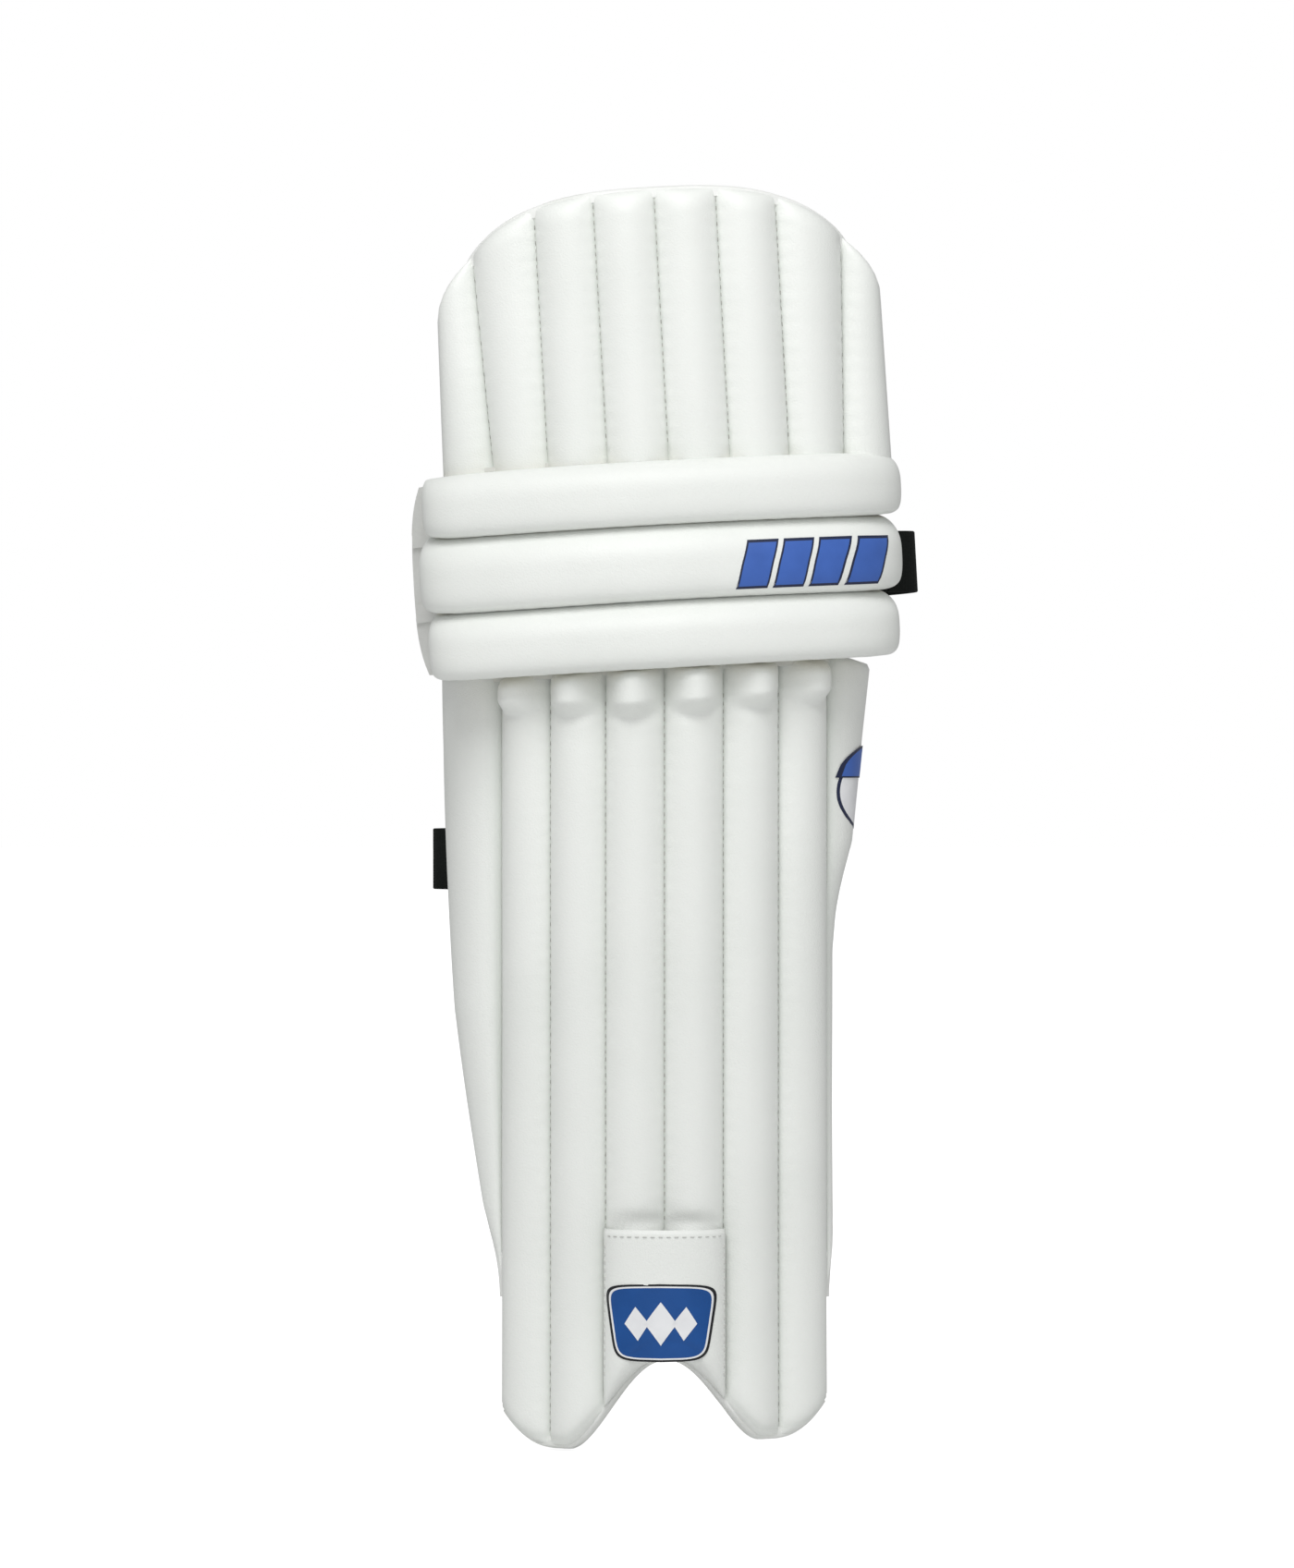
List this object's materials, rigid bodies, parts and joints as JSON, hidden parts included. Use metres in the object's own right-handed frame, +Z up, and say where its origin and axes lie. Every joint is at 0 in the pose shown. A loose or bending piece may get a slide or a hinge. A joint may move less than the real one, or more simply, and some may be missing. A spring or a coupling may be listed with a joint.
{
  "type": "cricket leg pad",
  "caption": "Batting leg guard: channelled shin panel with side wings, padded knee rolls, flexible top hat, and hook-and-loop straps behind the leg.",
  "frame": {"origin": "where the shin's centre seam, its sewing plane and the lowest edge of the feet meet: the foot of the leg mount", "axes": "+Z up the shin; -Y out of the padded front; +Y towards the wearer's leg; +X to the right of the pad seen from the front"},
  "size_m": [0.2795, 0.1966, 0.6878],
  "materials": {
    "leather": "white polyurethane leathercloth with a fine grain, satin",
    "binding": "soft white edge tape, satin",
    "lining": "brushed white lining cloth, matte",
    "wadding": "quilted cotton wadding, matte",
    "foam": "high-density foam, matte",
    "cane": "split cane rod wrapped in cotton",
    "badge": "printed vinyl badge, satin",
    "webbing": "black nylon webbing, ribbed weave",
    "hook": "black nylon hook tape",
    "loop": "black brushed loop tape"
  },
  "bodies": {
    "shin": {"shin_cover": "leather", "shin_wadding": "wadding", "shin_lining": "lining", "shin_binding": "binding", "shin_cane_1": "cane", "shin_cane_2": "cane", "shin_cane_3": "cane", "shin_cane_4": "cane", "shin_cane_5": "cane", "shin_cane_6": "cane", "knuckle_pad_1": "foam", "knuckle_pad_2": "foam", "knuckle_pad_3": "foam", "knuckle_pad_4": "foam", "knuckle_pad_5": "foam", "knuckle_pad_6": "foam", "instep_patch": "leather", "instep_badge": "badge", "wing_cover_left": "leather", "wing_cover_right": "leather", "wing_foam_left": "foam", "wing_foam_right": "foam", "wing_lining_left": "lining", "wing_lining_right": "lining", "side_bolster_left": "lining", "side_bolster_right": "lining", "calf_loop_strap": "webbing", "calf_loop_patch": "loop", "ankle_loop_strap": "webbing", "ankle_loop_patch": "loop"},
    "knee_roll_lower": {"knee_roll_cover_lower": "leather", "knee_roll_core_lower": "foam", "knee_backing_lower": "lining"},
    "knee_roll_middle": {"knee_roll_cover_middle": "leather", "knee_roll_core_middle": "foam", "knee_backing_middle": "lining", "knee_loop_strap": "webbing", "knee_loop_patch": "loop"},
    "knee_roll_upper": {"knee_roll_cover_upper": "leather", "knee_roll_core_upper": "foam", "knee_backing_upper": "lining"},
    "top_hat": {"top_hat_cover": "leather", "top_hat_wadding": "wadding", "top_hat_lining": "lining", "top_hat_binding": "binding", "top_hat_cane_1": "cane", "top_hat_cane_2": "cane", "top_hat_cane_3": "cane", "top_hat_cane_4": "cane", "top_hat_cane_5": "cane", "top_hat_cane_6": "cane", "top_hat_cane_7": "cane", "top_hat_cane_8": "cane"},
    "knee_strap": {"knee_strap": "webbing", "knee_hook_patch": "hook"},
    "calf_strap": {"calf_strap": "webbing", "calf_hook_patch": "hook"},
    "ankle_strap": {"ankle_strap": "webbing", "ankle_hook_patch": "hook"}
  },
  "joints": [
    {"name": "knee_fold_lower", "type": "hinge", "parent": "shin", "child": "knee_roll_lower", "pos_m": [-0.002, 0.03, 0.4272], "axis": [-0.9984, 0, -0.0558], "range_deg": [0, 7], "stiffness_Nm_per_rad": 8, "springref_deg": -2.86},
    {"name": "knee_fold_middle", "type": "hinge", "parent": "knee_roll_lower", "child": "knee_roll_middle", "pos_m": [-0.00399, 0.03, 0.46284], "axis": [-0.9984, 0, -0.0558], "range_deg": [0, 7], "stiffness_Nm_per_rad": 8, "springref_deg": -2.86},
    {"name": "knee_fold_upper", "type": "hinge", "parent": "knee_roll_middle", "child": "knee_roll_upper", "pos_m": [-0.00631, 0.03, 0.50428], "axis": [-0.9984, 0, -0.0558], "range_deg": [0, 7], "stiffness_Nm_per_rad": 8, "springref_deg": -2.86},
    {"name": "top_hat_fold", "type": "hinge", "parent": "knee_roll_upper", "child": "top_hat", "pos_m": [-0.00801, 0.03, 0.53463], "axis": [-0.9984, 0, -0.0558], "range_deg": [0, 7], "stiffness_Nm_per_rad": 8, "springref_deg": -2.86},
    {"name": "knee_strap_open", "type": "hinge", "parent": "knee_roll_middle", "child": "knee_strap", "pos_m": [0.12218, 0.06, 0.48472], "axis": [0.0558, 0, -0.9984], "range_deg": [0, 95]},
    {"name": "calf_strap_open", "type": "hinge", "parent": "shin", "child": "calf_strap", "pos_m": [-0.1194, 0.088, 0.3196], "axis": [0, 0, 1], "range_deg": [0, 95]},
    {"name": "ankle_strap_open", "type": "hinge", "parent": "shin", "child": "ankle_strap", "pos_m": [-0.084, 0.058, 0.145], "axis": [0, 0, 1], "range_deg": [0, 95]}
  ],
  "couplings": [
    {"joint": "knee_fold_middle", "follows": "knee_fold_lower", "ratio": 1},
    {"joint": "knee_fold_upper", "follows": "knee_fold_lower", "ratio": 1},
    {"joint": "top_hat_fold", "follows": "knee_fold_lower", "ratio": 1}
  ]
}
